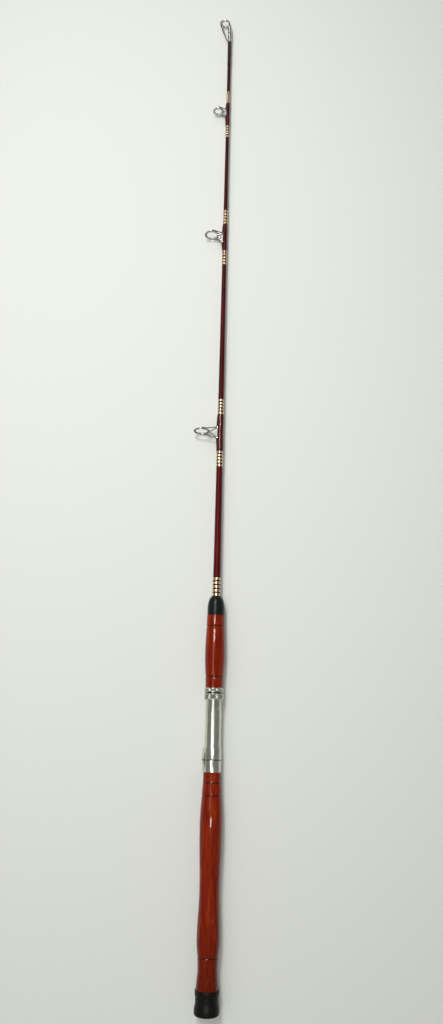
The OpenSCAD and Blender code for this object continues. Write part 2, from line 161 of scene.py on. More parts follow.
# %% [markdown]
# ## Lamps
# Polished round things show the lamps more than their own colour, so each lamp has one task. A wide,
# dim panel on the guides' side lights the cloth. It is hidden from reflections, because there it
# would veil the varnish. A long window on that side draws the pale stripe down the metal and the
# blank, and a narrow one carries it on to the thin end. One small strong lamp throws the shadows.
# Two short ones put a crisp glint on the grips, one on each. A glint shows where the rod mirrors a
# lamp to the camera, which is how each lamp's place along the rod was found.

# %% Lamps
ROD_AXIS = Vector((0, 1, 0))


def softbox(name, place, target, width, length, radiance):
    """A lamp with its length along the rod, as bright as a surface of that radiance."""
    bpy.ops.object.light_add(type="AREA", location=place)
    lamp = bpy.context.object
    lamp.name = name
    lamp.data.shape = "RECTANGLE"
    lamp.data.size = width
    lamp.data.size_y = length
    lamp.data.energy = radiance * math.pi * width * length
    lamp.visible_camera = False
    away = (Vector(place) - Vector(target)).normalized()
    along = (ROD_AXIS - ROD_AXIS.dot(away) * away).normalized()
    lamp.rotation_euler = Matrix((along.cross(away), along, away)).transposed().to_euler()
    print(f"{name}: {lamp.data.energy:.1f} W")
    return lamp


panel = softbox("ceiling_panel", place=(-1.2, 0.4, 1.95), target=(-0.2, 0.4, 0),
                width=1.7, length=4.2, radiance=0.58)
panel.visible_glossy = False
softbox("window", place=(-0.50, 2.22, 1.62), target=(0, 2.22, 0),
        width=0.40, length=3.8, radiance=2.7)
softbox("tip_window", place=(-0.42, 3.0, 1.62), target=(0, 3.0, 0),
        width=0.12, length=2.0, radiance=6)
softbox("main_lamp", place=(-0.36, 1.65, 1.75), target=(0, 1.2, 0),
        width=0.20, length=0.16, radiance=120)
softbox("grip_lamp", place=(-0.36, 0.92, 1.75), target=(0, 0.92, 0),
        width=0.46, length=0.09, radiance=36)
softbox("butt_lamp", place=(-0.02, 0.16, 1.80), target=(0, 0.16, 0),
        width=0.42, length=0.14, radiance=36)

# %% [markdown]
# ## Room
# The world is the rest of the room. It is dim, so metal and varnish turn dark where they mirror no
# lamp. Light Path tells a ray that comes straight from the camera, and only such a ray sees the pale
# backdrop past the table's edge.

# %% Room
ROOM_COLOUR = (0.96, 0.98, 0.92)
ROOM_STRENGTH = 0.24
BACKDROP_COLOUR = (0.78, 0.79, 0.75)
world = bpy.data.worlds.new("studio")
bpy.context.scene.world = world
world.use_nodes = True
world_nodes, world_links = world.node_tree.nodes, world.node_tree.links
room = world_nodes["Background"]
room.inputs["Color"].default_value = (*ROOM_COLOUR, 1)
room.inputs["Strength"].default_value = ROOM_STRENGTH
backdrop = world_nodes.new("ShaderNodeBackground")
backdrop.inputs["Color"].default_value = (*BACKDROP_COLOUR, 1)
path = world_nodes.new("ShaderNodeLightPath")
seen = world_nodes.new("ShaderNodeMixShader")
world_links.new(path.outputs["Is Camera Ray"], seen.inputs["Fac"])
world_links.new(room.outputs["Background"], seen.inputs[1])
world_links.new(backdrop.outputs["Background"], seen.inputs[2])
world_links.new(seen.outputs["Shader"], world_nodes["World Output"].inputs["Surface"])
bpy.context.scene.view_settings.view_transform = "Standard"
print(f"room at {ROOM_STRENGTH}, view {bpy.context.scene.view_settings.view_transform}")

# %% [markdown]
# ## A finish, and the cloth
# Each finish is one small node tree round a Principled shader. The plainest is the cloth that
# covers the table. It has no gloss, so it takes the rod's shadow evenly, and it shows in the metal as
# a pale band. It is a light grey, which stays short of pure white under these lamps.


# %% A finish, and the cloth
def finish(name, colour, roughness=0.4, metallic=0.0, **sockets):
    """A material with one Principled shader: (material, nodes, links, shader)."""
    material = bpy.data.materials.new(name)
    material.use_nodes = True
    tree = material.node_tree
    shader = tree.nodes["Principled BSDF"]
    shader.inputs["Base Color"].default_value = (*colour, 1)
    shader.inputs["Roughness"].default_value = roughness
    shader.inputs["Metallic"].default_value = metallic
    for socket, value in sockets.items():
        shader.inputs[socket.replace("_", " ")].default_value = value
    return material, tree.nodes, tree.links, shader


cloth = finish("cloth", (0.686, 0.696, 0.665), roughness=0.95, Specular_IOR_Level=0.0)[0]
table.data.materials.append(cloth)
print("table covered with", table.active_material.name)

# %% [markdown]
# ## Patterns
# Every finish on the rod varies by noise. Patterns read Object coordinates, so they stay on the
# piece when it moves, and a Mapping node turns metres into millimetres, so that their scale is easy
# to judge. Stretching the mapping along one axis draws lumps out into fibres or drawn lines.


# %% Patterns
def place_in_mm(shapes, links, stretch=(1, 1, 1)):
    """Object coordinates in millimetres, stretched along an axis by the factors given."""
    coordinates = shapes.new("ShaderNodeTexCoord")
    mapping = shapes.new("ShaderNodeMapping")
    mapping.inputs["Scale"].default_value = [1 / MM / s for s in stretch]
    links.new(coordinates.outputs["Object"], mapping.inputs["Vector"])
    return mapping.outputs["Vector"]


def noise(shapes, links, size, detail=4, stretch=(1, 1, 1), roughness=0.55, distortion=0.0):
    """Soft noise whose lumps are about size millimetres across."""
    texture = shapes.new("ShaderNodeTexNoise")
    texture.inputs["Scale"].default_value = 1 / size
    texture.inputs["Detail"].default_value = detail
    texture.inputs["Roughness"].default_value = roughness
    texture.inputs["Distortion"].default_value = distortion
    links.new(place_in_mm(shapes, links, stretch), texture.inputs["Vector"])
    return texture.outputs["Fac"]


def along_rod(shapes, links, first, last, shade_first, shade_last):
    """A shade that changes evenly between two stations, in millimetres from the butt."""
    stations = shapes.new("ShaderNodeSeparateXYZ")
    links.new(place_in_mm(shapes, links), stations.inputs["Vector"])
    node = shapes.new("ShaderNodeMapRange")
    node.inputs["From Min"].default_value = first
    node.inputs["From Max"].default_value = last
    node.inputs["To Min"].default_value = shade_first
    node.inputs["To Max"].default_value = shade_last
    links.new(stations.outputs["Y"], node.inputs["Value"])
    return node.outputs["Result"]


print("patterns by noise and by station, one unit to", MM, "m")

# %% [markdown]
# ## From pattern to look
# A pattern is only a value from 0 to 1. A colour ramp turns it into stain, a range turns it into
# roughness, and a bump turns it into relief of a depth in millimetres. Two more helpers lay one
# pattern over another.


# %% From pattern to look
def ramp(shapes, links, value, stops):
    """Colours by value; stops are (position, colour)."""
    node = shapes.new("ShaderNodeValToRGB")
    elements = node.color_ramp.elements
    while len(elements) < len(stops):
        elements.new(0.5)
    for element, (position, colour) in zip(elements, stops):
        element.position = position
        element.color = (*colour, 1)
    links.new(value, node.inputs["Fac"])
    return node.outputs["Color"]


def ranged(shapes, links, value, low, high):
    """The value spread evenly from low to high."""
    node = shapes.new("ShaderNodeMapRange")
    node.inputs["To Min"].default_value = low
    node.inputs["To Max"].default_value = high
    links.new(value, node.inputs["Value"])
    return node.outputs["Result"]


def bump(shapes, links, shader, value, depth, strength):
    """Relief of a depth in millimetres."""
    node = shapes.new("ShaderNodeBump")
    node.inputs["Distance"].default_value = depth * MM
    node.inputs["Strength"].default_value = strength
    links.new(value, node.inputs["Height"])
    links.new(node.outputs["Normal"], shader.inputs["Normal"])


def added(shapes, links, value, factor, other):
    """value times factor, plus other."""
    node = shapes.new("ShaderNodeMath")
    node.operation = "MULTIPLY_ADD"
    node.inputs[1].default_value = factor
    links.new(value, node.inputs[0])
    links.new(other, node.inputs[2])
    return node.outputs["Value"]


def multiplied(shapes, links, colour, shade):
    """One colour darkened by another, or by a grey shade."""
    node = shapes.new("ShaderNodeMix")
    node.data_type = "RGBA"
    node.blend_type = "MULTIPLY"
    node.inputs["Factor"].default_value = 1
    links.new(colour, node.inputs["A"])
    links.new(shade, node.inputs["B"])
    return node.outputs["Result"]


def shade_of(colour, share):
    return tuple(share * channel for channel in colour)


WHITE = (1, 1, 1)
print("half of white:", shade_of(WHITE, 0.5))

# %% [markdown]
# ## Wood
# The grips are a red hardwood, stained and varnished to a deep gloss. Real grain is the same
# pattern drawn out along the fibre, so the noise is stretched along the rod: broad soft bands of
# colour, finer fibres in them, and short dark pores. The wood is darker towards the butt. The
# varnish is the shader's coat, and the softer gloss under it is tinted amber.

# %% Wood
AMBER = (1.0, 0.45, 0.16)
PORE_STAIN = (0.35, 0.25, 0.22)


def varnished_wood(name, dark, middle, light):
    """Banded wood with fibres and pores, from three shades of stain."""
    material, shapes, links, shader = finish(
        name, middle, roughness=0.22, Specular_IOR_Level=0.10, Coat_Weight=0.36, Coat_Roughness=0.05)
    shader.inputs["Specular Tint"].default_value = (*AMBER, 1)
    fibres = noise(shapes, links, size=0.9, detail=5, stretch=(1, 30, 1), roughness=0.62)
    bands = noise(shapes, links, size=8, detail=2, stretch=(1, 9, 1), roughness=0.5, distortion=0.8)
    grain = added(shapes, links, fibres, 0.55, ranged(shapes, links, bands, low=0, high=0.5))
    stain = ramp(shapes, links, grain, [(0.36, dark), (0.52, middle), (0.66, light)])
    pores = noise(shapes, links, size=0.35, detail=2, stretch=(1, 22, 1), roughness=0.5)
    pore_shade = ramp(shapes, links, pores, [(0.30, PORE_STAIN), (0.40, WHITE)])
    # Darker towards the butt.
    darker_to_butt = along_rod(shapes, links, first=25, last=130, shade_first=0.46, shade_last=0.80)
    pored = multiplied(shapes, links, stain, pore_shade)
    links.new(multiplied(shapes, links, pored, darker_to_butt), shader.inputs["Base Color"])
    bump(shapes, links, shader, fibres, depth=0.04, strength=0.35)
    print(f"{name}: {len(shapes)} shader nodes")
    return material


grip_wood = varnished_wood(
    "grip_wood", (0.120, 0.0055, 0.0008), (0.225, 0.0125, 0.0018), (0.345, 0.034, 0.0042))
# Painted shade: a darker copy of the wood for the grooves' recesses, where shade falls.
groove_painted_shade = varnished_wood(
    "groove_painted_shade", (0.045, 0.0035, 0.0010), (0.075, 0.0060, 0.0015), (0.11, 0.011, 0.002))

# %% [markdown]
# ## Blank
# A glass-fibre blank is rolled cloth under a thick tinted gloss. The tint is a deep maroon that
# clouds slowly along the rod and is darker towards the tip. The tape that held the cloth while it
# cured leaves its surface uneven, so the gloss has a fine ripple.


# %% Blank
def maroon_glass():
    """Tinted glass fibre whose shade clouds and deepens along the rod."""
    dark, middle, light = (0.085, 0.0020, 0.0040), (0.125, 0.0035, 0.0060), (0.165, 0.0055, 0.0080)
    material, shapes, links, shader = finish(
        "maroon_glass", middle, roughness=0.35, Specular_IOR_Level=0.05, Coat_Weight=0.20,
        Coat_Roughness=0.04)
    clouds = noise(shapes, links, size=12, detail=3, stretch=(1, 6, 1))
    tint = ramp(shapes, links, clouds, [(0.30, dark), (0.55, middle), (0.75, light)])
    deepening = along_rod(shapes, links, first=620, last=1700, shade_first=0.66, shade_last=0.27)
    links.new(multiplied(shapes, links, tint, deepening), shader.inputs["Base Color"])
    ripple = noise(shapes, links, size=2.5, detail=2, stretch=(1, 2, 1))
    bump(shapes, links, shader, ripple, depth=0.03, strength=0.25)
    return material


glass = maroon_glass()
print(f"{glass.name}: {len(glass.node_tree.nodes)} shader nodes")

# %% [markdown]
# ## Plated metal
# Plated brass is one colour whose gloss varies: handling dulls it in patches, and on the seat fine
# drawn lines run round the tube.

# %% Plated metal
PLATE_GLOSS = (0.8, 1.3)
TARNISH = 0.92


def plated(name, colour, roughness, drawn=(1, 1, 1)):
    """Plating with dull patches and faint tarnish; drawn stretches its fine lines."""
    material, shapes, links, shader = finish(name, colour, roughness, metallic=1.0)
    patches = noise(shapes, links, size=7, detail=6)
    glossy, dull = roughness * PLATE_GLOSS[0], roughness * PLATE_GLOSS[1]
    links.new(ranged(shapes, links, patches, glossy, dull), shader.inputs["Roughness"])
    tarnish = noise(shapes, links, size=11, detail=5)
    plate = ramp(shapes, links, tarnish, [(0.35, shade_of(colour, TARNISH)), (0.60, colour)])
    links.new(plate, shader.inputs["Base Color"])
    lines = noise(shapes, links, size=0.6, detail=3, stretch=drawn)
    bump(shapes, links, shader, lines, depth=0.006, strength=0.5)
    print(f"{name}: roughness {glossy:.2f} to {dull:.2f}")
    return material


seat_plate = plated("seat_plate", (0.66, 0.66, 0.58), 0.20, drawn=(8, 1, 8))
knurl_plate = plated("knurl_plate", (0.62, 0.62, 0.55), 0.20)
tube_plate = plated("tube_plate", (0.56, 0.56, 0.50), 0.20)
# Painted shade: a near-black plate for the lips where the hoods meet, darkening the hairline between
# them.
lip_painted_shade = plated("lip_painted_shade", (0.010, 0.010, 0.008), 0.5)

# %% [markdown]
# ## Bright wire
# Hard-chromed wire mirrors what is round it: pale where it faces one, and dark at its edges, where it
# mirrors the far side of the room. Wire this thin can't show that falloff, so Layer Weight paints it
# into the base colour as a painted reflection: painted highlight facing one, painted shade at the
# edges.

# %% Bright wire
WORN = (0.82, 0.82, 0.80)


def bright_wire():
    """Polished wire with a painted reflection: bright where it faces one and nearly black at its edges.
    """
    material, shapes, links, shader = finish("ring_chrome", (0.5, 0.5, 0.47), 0.09, metallic=1.0)
    facing = shapes.new("ShaderNodeLayerWeight")
    facing.inputs["Blend"].default_value = 0.5
    # Painted reflection: the base colour runs from pale where the wire faces the view to near black at
    # its edges.
    painted_reflection = ramp(shapes, links, facing.outputs["Facing"], [
        (0.15, (0.78, 0.78, 0.73)), (0.45, (0.16, 0.165, 0.15)), (0.80, (0.05, 0.05, 0.045))])
    wear = ramp(shapes, links, noise(shapes, links, size=3), [(0.35, WORN), (0.60, WHITE)])
    links.new(multiplied(shapes, links, painted_reflection, wear), shader.inputs["Base Color"])
    return material


ring_chrome = bright_wire()
print(f"{ring_chrome.name}: {len(ring_chrome.node_tree.nodes)} shader nodes")

# %% [markdown]
# ## Rubber and fibre
# Rubber, the check's black plastic and the fibre bushes are nearly plain, with a fine grain. One
# noise both darkens and roughens them and raises their surface, as real grain does.

# %% Rubber and fibre
GRAIN_SHADE = 0.7
GRAIN_GLOSS = (0.8, 1.2)


def grained(name, colour, roughness, size, depth, **sockets):
    """A plain colour with a fine grain that both darkens and roughens it."""
    material, shapes, links, shader = finish(name, colour, roughness, **sockets)
    grain = noise(shapes, links, size)
    shade = ramp(shapes, links, grain, [(0.3, shade_of(colour, GRAIN_SHADE)), (0.7, colour)])
    links.new(shade, shader.inputs["Base Color"])
    glossy, dull = roughness * GRAIN_GLOSS[0], roughness * GRAIN_GLOSS[1]
    links.new(ranged(shapes, links, grain, glossy, dull), shader.inputs["Roughness"])
    bump(shapes, links, shader, grain, depth, strength=0.4)
    print(f"{name}: grain {size} mm")
    return material


rubber = grained("rubber", (0.0055, 0.006, 0.0055), roughness=0.40, size=0.45, depth=0.05,
                 Specular_IOR_Level=0.16)
check_black = grained("check_black", (0.006, 0.0085, 0.008), roughness=0.30, size=0.8, depth=0.03,
                      Specular_IOR_Level=0.22)
washer_fibre = grained("washer_fibre", (0.010, 0.010, 0.009), roughness=0.7, size=0.3, depth=0.04)
bush_fibre = grained("bush_fibre", (0.30, 0.20, 0.10), roughness=0.7, size=0.6, depth=0.05)

# %% [markdown]
# ## Thread
# Wrapping thread is nylon, either dyed or metallic, soaked in varnish. Its turns are modelled
# further down, so the finish only varies the shade from strand to strand, round each turn.

# %% Thread
STRAND_SHADE = 0.6


def thread(name, colour, metallic, roughness, coat):
    """Thread whose strands vary a little in shade round each turn, under clear varnish."""
    material, shapes, links, shader = finish(
        name, colour, roughness, metallic, Specular_IOR_Level=0.1, Coat_Weight=coat,
        Coat_Roughness=0.06)
    strands = noise(shapes, links, size=0.5, detail=3, stretch=(5, 1, 5))
    shade = ramp(shapes, links, strands, [(0.3, shade_of(colour, STRAND_SHADE)), (0.7, colour)])
    links.new(shade, shader.inputs["Base Color"])
    print(f"{name}: {'metallic' if metallic else 'dyed'}")
    return material


gold_thread = thread("gold_thread", (0.90, 0.68, 0.42), metallic=1.0, roughness=0.22, coat=0.3)
ground_thread = thread(
    "ground_thread", (0.055, 0.0030, 0.0050), metallic=0.0, roughness=0.4, coat=0.3)
foot_thread = thread(
    "foot_thread", (0.066, 0.0018, 0.0034), metallic=0.0, roughness=0.35, coat=0.35)
tip_thread = thread(
    "tip_thread", (0.026, 0.0070, 0.0060), metallic=0.0, roughness=0.35, coat=0.3)

# %% [markdown]
# ## Finishes of the CAD nodes
# Every node names a material slot in the record, so one table gives all of them a finish, even
# those that a modelled piece replaces further down.

# %% Finishes
FINISHES = {
    "rubber": rubber, "grip_wood": grip_wood, "seat_metal": seat_plate, "pin_metal": seat_plate,
    "knurled_metal": knurl_plate, "washer_fibre": washer_fibre, "bush_fibre": bush_fibre,
    "check_black": check_black, "blank_maroon": glass, "banded_thread": gold_thread,
    "foot_thread": foot_thread, "tip_thread": tip_thread, "tube_metal": tube_plate,
    "guide_chrome": ring_chrome,
}
slot_of = {part["node"]: part["material_slot"] for part in frame["record"]["subparts"]}
for name, node in nodes.items():
    node.data.materials.clear()
    node.data.materials.append(FINISHES[slot_of[name]])
print("finished", len(nodes), "nodes in", len(set(slot_of.values())), "slots")

# %% [markdown]
# ## Turning on a lathe
# Grips, caps, checks and wraps are all turned or wound about the rod's axis. One helper does what a
# lathe does: a single vertex is extruded along the outline, and the outline is spun once round.
# Spinning leaves a seam and can leave the faces inward, so doubles are merged before the normals
# are recalculated.

# %% Lathe
ROUND = 96
SMOOTH = 35
MERGE = 0.0005 * MM


def deselect():
    bpy.ops.object.select_all(action="DESELECT")


def lone_vertex(name, radius, station):
    """A piece of one vertex, in edit mode."""
    deselect()
    bpy.ops.mesh.primitive_plane_add(size=MM, location=(radius * MM, station * MM, 0))
    piece = bpy.context.object
    piece.name = name
    piece.data.name = name
    bpy.ops.object.transform_apply(location=True, rotation=True, scale=True)
    bpy.ops.object.mode_set(mode="EDIT")
    bpy.ops.mesh.select_mode(type="VERT")
    bpy.ops.mesh.select_all(action="SELECT")
    bpy.ops.mesh.merge(type="CENTER")
    return piece


def draw(outline):
    """Extrudes the selected vertex along an outline of (radius, station)."""
    for (r0, y0), (r1, y1) in zip(outline, outline[1:]):
        step = ((r1 - r0) * MM, (y1 - y0) * MM, 0)
        bpy.ops.mesh.extrude_region_move(TRANSFORM_OT_translate={"value": step})
    bpy.ops.mesh.select_all(action="SELECT")
    bpy.ops.mesh.remove_doubles(threshold=MERGE)


def face_outward():
    bpy.ops.mesh.select_all(action="SELECT")
    bpy.ops.mesh.remove_doubles(threshold=MERGE)
    bpy.ops.mesh.normals_make_consistent(inside=False)


def leave(piece, smooth=SMOOTH):
    """Leaves edit mode and smooths every edge that turns less than that many degrees."""
    bpy.ops.object.mode_set(mode="OBJECT")
    bpy.ops.object.shade_smooth_by_angle(angle=math.radians(smooth))
    return piece


def turned(name, outline, steps=ROUND, smooth=SMOOTH, centre=0):
    """A closed outline of (radius, station) spun round the rod's axis, or round one beside it."""
    piece = lone_vertex(name, outline[0][0] + centre, outline[0][1])
    draw([(radius + centre, station) for radius, station in outline])
    bpy.ops.mesh.spin(
        steps=steps, angle=2 * math.pi, center=(centre * MM, 0, 0), axis=(0, 1, 0))
    face_outward()
    return leave(piece, smooth)


print(f"lathe: {ROUND} steps a turn, edges smooth under {SMOOTH} degrees")

# %% [markdown]
# ## Finishing a piece
# A modelled piece gets its materials, the body that carries it in every pose, and the CAD nodes
# that it stands for. Some faces take a second material, found by their place.


# %% Finishing a piece
def finished(piece, materials, body, slot, *replaced):
    """Gives a piece its materials, its body and the nodes that it stands for; its slot is not used."""
    if piece.data.materials:
        piece.data.materials.clear()
    for material in materials:
        piece.data.materials.append(material)
    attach(piece, body)
    if replaced:
        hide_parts(*replaced)
    print(f"{piece.name}: {len(piece.data.polygons)} faces")
    return piece


def paint(piece, low, high, slot, above=0.0):
    """Puts faces between two stations, and outside a radius, in another material slot."""
    for face in piece.data.polygons:
        radius = math.hypot(face.center.x, face.center.z) / MM
        if low < face.center.y / MM < high and radius > above:
            face.material_index = slot


def arc(radius, station, size, first, last, count=6):
    """Points on a round of an outline; angles run from outward (0) to the tip (90)."""
    angles = [math.radians(first + (last - first) * n / count) for n in range(count + 1)]
    return [(radius + size * math.cos(a), station + size * math.sin(a)) for a in angles]


print("a quarter round in", len(arc(0, 0, 1, 0, 90)), "points")

# %% [markdown]
# ## Grips
# Both grips are single pieces of wood. Their outline swings smoothly between the few stations at
# which the CAD's outline turns, with shallow vee grooves cut where the real ones are darker. The
# grooves' faces go to a darker copy of the wood, painted shade for the recess of each groove.

# %% Grip tools
SWING_STEPS = 14
GROOVE_HALF = 1.1
GROOVE_DEPTH = 0.75
GROOVE_CLEAR = 1.7
VEE = ((-1.5, 0), (-1, 0.08), (-0.35, 0.85), (0, 1), (0.35, 0.85), (1, 0.08), (1.5, 0))
OUTSIDE = 1


def swung(keys):
    """Points that ease from one (station, radius) to the next, as (radius, station)."""
    points = []
    for (y0, r0), (y1, r1) in zip(keys, keys[1:]):
        for n in range(SWING_STEPS):
            ease = (1 - math.cos(math.pi * n / SWING_STEPS)) / 2
            points.append((r0 + (r1 - r0) * ease, y0 + (y1 - y0) * n / SWING_STEPS))
    return points + [(keys[-1][1], keys[-1][0])]


def grooved(points, grooves):
    """The outline with a vee groove, its lips slightly rounded, at each station."""
    by_station = sorted((y, r) for r, y in points)
    clear = GROOVE_CLEAR * GROOVE_HALF
    kept = [(y, r) for y, r in by_station if all(abs(y - g) > clear for g in grooves)]
    for g in grooves:
        surface = radius_at(by_station, g)
        for offset, share in VEE:
            kept.append((g + offset * GROOVE_HALF, surface - share * GROOVE_DEPTH))
    return [(r, y) for y, r in sorted(kept)]


def grip(name, stations, grooves, bore):
    """A turned grip on the CAD's outline, with painted shade in its grooves."""
    cad = outline_of(name)
    keys = [(y, radius_at(cad, y)) for y in stations]
    outside = grooved(swung(keys), grooves)
    closed = [(bore, stations[0])] + outside + [(bore, stations[-1]), (bore, stations[0])]
    piece = turned(name + "_turned", closed)
    # Painted shade: the grooves' faces take the darker wood.
    for g in grooves:
        paint(piece, g - GROOVE_HALF, g + GROOVE_HALF, 1, bore + OUTSIDE)
    return finished(piece, (grip_wood, groove_painted_shade), "rod", "grip_wood", name)


handle_bore = inner_radius("fore_grip")
print(f"grips bored to {handle_bore:.2f} mm in radius")

# %% [markdown]
# ### Where the grips turn
# The rear grip narrows to a neck by the cap and then swells twice, with a waist between the swells.
# The fore grip is a single belly. Stations near an end are millimetres from that end, and the
# others are shares of the grip's length.

# %% Grips
REAR_NECK, LOWER_SWELL = 26.5, 69
REAR_WAIST, UPPER_SWELL = 0.426, 0.74
CAP_GROOVE = 43
SEAT_GROOVES = (34.7, 16)
FORE_BELLY = 0.46
FORE_GROOVES = (17.5, 18)
cap_front = end("butt_cap")
seat_start, seat_end = start("seat_barrel"), end("seat_barrel")
check_start, check_end = start("winding_check"), end("winding_check")
rear_length = seat_start - cap_front
fore_length = check_start - seat_end
grip("rear_grip",
     [cap_front, cap_front + REAR_NECK, cap_front + LOWER_SWELL, cap_front + REAR_WAIST * rear_length,
      cap_front + UPPER_SWELL * rear_length, seat_start],
     [cap_front + CAP_GROOVE, seat_start - SEAT_GROOVES[0], seat_start - SEAT_GROOVES[1]],
     handle_bore)
grip("fore_grip", [seat_end, seat_end + FORE_BELLY * fore_length, check_start],
     [seat_end + FORE_GROOVES[0], check_start - FORE_GROOVES[1]], handle_bore)

# %% [markdown]
# ## Butt cap
# The cap is a moulded rubber cup pushed over the end of the rear grip. It has a rolled bead at its
# mouth, a waist, and a flare down to a rounded foot with a dished end. The rounds are arcs, since
# rubber moulds have no sharp corners.

# %% Butt cap
CAP_WALL = 6
CAP_FLOOR = 9
DISH = 1.2
DISH_RIM, DISH_FOOT, FOOT_FLAT = 9, 7.6, 4.2
FOOT_ROUND = 3.0
FLARE_EASE = 0.25
FLARE_START, FLARE_BEND, FLARE_FALL = 7.5, 10, 14.5
WAIST_DEPTH = 1.6
WAIST_START, WAIST_END = 18, 23.5
BEAD_AT, BEAD_ROUND, BEAD_SINK = 27.2, 1.8, 0.9
BEAD_END, BEAD_STEP = 30.5, 0.95
MOUTH_ROUND, MOUTH_SINK = 1.3, 0.35
cap_radius = outer_radius("butt_cap")
waist = cap_radius - WAIST_DEPTH
cap_bore = handle_bore + CAP_WALL
cap_outline = (
    [(0, DISH), (cap_radius - DISH_RIM, DISH), (cap_radius - DISH_FOOT, 0), (cap_radius - FOOT_FLAT, 0)]
    + arc(cap_radius - FOOT_ROUND, FOOT_ROUND, FOOT_ROUND, -90, 0, count=8)
    + [(cap_radius, FLARE_START), (cap_radius - FLARE_EASE, FLARE_BEND)]
    + [(waist + FLARE_EASE, FLARE_FALL), (waist, WAIST_START), (waist, WAIST_END)]
    + arc(waist - BEAD_SINK, BEAD_AT, BEAD_ROUND, -60, 0, count=4)
    + [(waist + BEAD_STEP, BEAD_END)]
    + arc(waist - MOUTH_SINK, cap_front - MOUTH_ROUND, MOUTH_ROUND, 0, 90)
    + [(cap_bore, cap_front), (cap_bore, CAP_FLOOR), (0, CAP_FLOOR)]
)
finished(turned("butt_cap_moulded", cap_outline), (rubber,), "rod", "rubber", "butt_cap")

# %% [markdown]
# ## Winding check
# The check hides the joint between the fore grip and the blank. It is a black turned cone with an
# elliptic shoulder, two fine lines near its base and a small lip where it meets the thread.

# %% Winding check
CHECK_LAND = 13
CHECK_EDGE, CHECK_EDGE_ROUND = 0.25, 0.3
CHECK_LINES = (3.0, 4.6)
LINE_HALF, LINE_DEPTH = 0.35, 0.3
NOSE_WALL, NOSE_LENGTH = 1.1, 1.2
NOSE_LIP, NOSE_LIP_LENGTH = 0.55, 0.5
SHOULDER_STEPS = 16
SHOULDER_TURN = 84
SHOULDER_ROUNDNESS = 0.8
check_radius = outer_radius("winding_check")
nose_radius = radius_at(blank_outline, check_end) + NOSE_WALL
check_rise = check_end - check_start - CHECK_LAND - NOSE_LENGTH


def shoulder(share):
    """A point of the elliptic shoulder; share runs from its foot (0) to its nose (1)."""
    angle = math.radians(SHOULDER_TURN * share)
    fullness = SHOULDER_ROUNDNESS * math.cos(angle) + (1 - SHOULDER_ROUNDNESS) * (1 - share)
    return (nose_radius + (check_radius - nose_radius) * fullness,
            check_start + CHECK_LAND + check_rise * math.sin(angle))


check_outline = [(handle_bore, check_start), (check_radius - CHECK_EDGE, check_start)]
check_outline += [(check_radius, check_start + CHECK_EDGE_ROUND)]
for line in CHECK_LINES:
    check_outline += [(check_radius, check_start + line - LINE_HALF),
                      (check_radius - LINE_DEPTH, check_start + line),
                      (check_radius, check_start + line + LINE_HALF)]
check_outline += [shoulder(n / SHOULDER_STEPS) for n in range(SHOULDER_STEPS + 1)]
check_outline += [(nose_radius + NOSE_LIP, check_end - NOSE_LIP_LENGTH), (nose_radius, check_end),
                  (handle_bore, check_end), (handle_bore, check_start)]
finished(turned("winding_check_turned", check_outline), (check_black,), "rod", "check_black",
         "winding_check")

# %% [markdown]
# ## Thread wraps
# A wrap is hundreds of turns of thread, side by side. At arm's length the turns can't be counted,
# but their ripple is what spreads the highlight along the rod, so it is modelled: one crest and
# one valley in the outline for each turn.

# %% Wraps
THREAD = 0.32
RIPPLE = 0.045
WRAP_ROUND = 48
WRAP_SMOOTH = 75
WRAP_SINK = 0.1


def wound(low, high, thickness, ripple):
    """Outline of turns of thread over the blank; thickness(station) is how far they stand proud."""
    turns = max(2, round((high - low) / THREAD))
    points = []
    for n in range(2 * turns + 1):
        station = low + (high - low) * n / (2 * turns)
        valley = ripple if n % 2 == 0 else 0
        points.append((radius_at(blank_outline, station) + thickness(station) - valley, station))
    return points


def wrap(node, thickness, ripple=RIPPLE):
    """A wound sleeve in a node's place."""
    low, high = start(node), end(node)
    inside = [(radius_at(blank_outline, high) - WRAP_SINK, high),
              (radius_at(blank_outline, low) - WRAP_SINK, low)]
    outline = wound(low, high, thickness, ripple)
    return turned(node + "_wound", outline + inside + outline[:1], WRAP_ROUND, WRAP_SMOOTH)


def proud_of_blank(node):
    return outer_radius(node) - radius_at(blank_outline, start(node))


print(f"a turn of thread every {THREAD} mm, {proud_of_blank('butt_wrap'):.2f} mm proud of the blank")

# %% [markdown]
# ### Banded trims
# A banded trim is five pads of gold thread wound over a maroon ground, each pad swelling a little
# where the varnish rounds it off. One outline makes them all, and the pads' faces are painted gold.

# %% Banded trims
BANDS = 5
BAND_SHARE = 0.64
BAND_RISE = 0.2
BAND_FULLNESS = 2.2
GOLD_RIPPLE = 0.015
JUST_INSIDE = 0.99


def banded(node):
    """Five gold bands on a maroon ground."""
    low, high = start(node), end(node)
    period = (high - low) / (BANDS - 1 + BAND_SHARE)
    proud = proud_of_blank(node)

    def thickness(station):
        """The ground's height in a gap, and in a band a swell to the wrap's full height."""
        across = ((station - low) % period) / (period * BAND_SHARE)
        swell = math.sin(math.pi * across) if across < 1 else 0
        return proud - BAND_RISE * (1 - min(1, BAND_FULLNESS * swell) ** 0.5)

    piece = wrap(node, thickness, GOLD_RIPPLE)
    skin = radius_at(blank_outline, high) * JUST_INSIDE
    for n in range(BANDS):
        paint(piece, low + n * period, low + (n + BAND_SHARE) * period, 1, skin)
    return finished(piece, (ground_thread, gold_thread), "rod", "banded_thread", node)


trims = [node for node in nodes if node.endswith("_trim")]
for node in sorted(trims) + ["butt_wrap"]:
    banded(node)
tip_height = proud_of_blank("tip_wrap")
finished(wrap("tip_wrap", lambda station: tip_height), (tip_thread,), "rod", "tip_thread", "tip_wrap")

# %% [markdown]
# ## Copies and modifiers
# A CAD node's mesh is loose triangles, so any copy of it is merged before it is worked on. The
# modifiers of a piece are all applied, so that it is left a plain mesh.


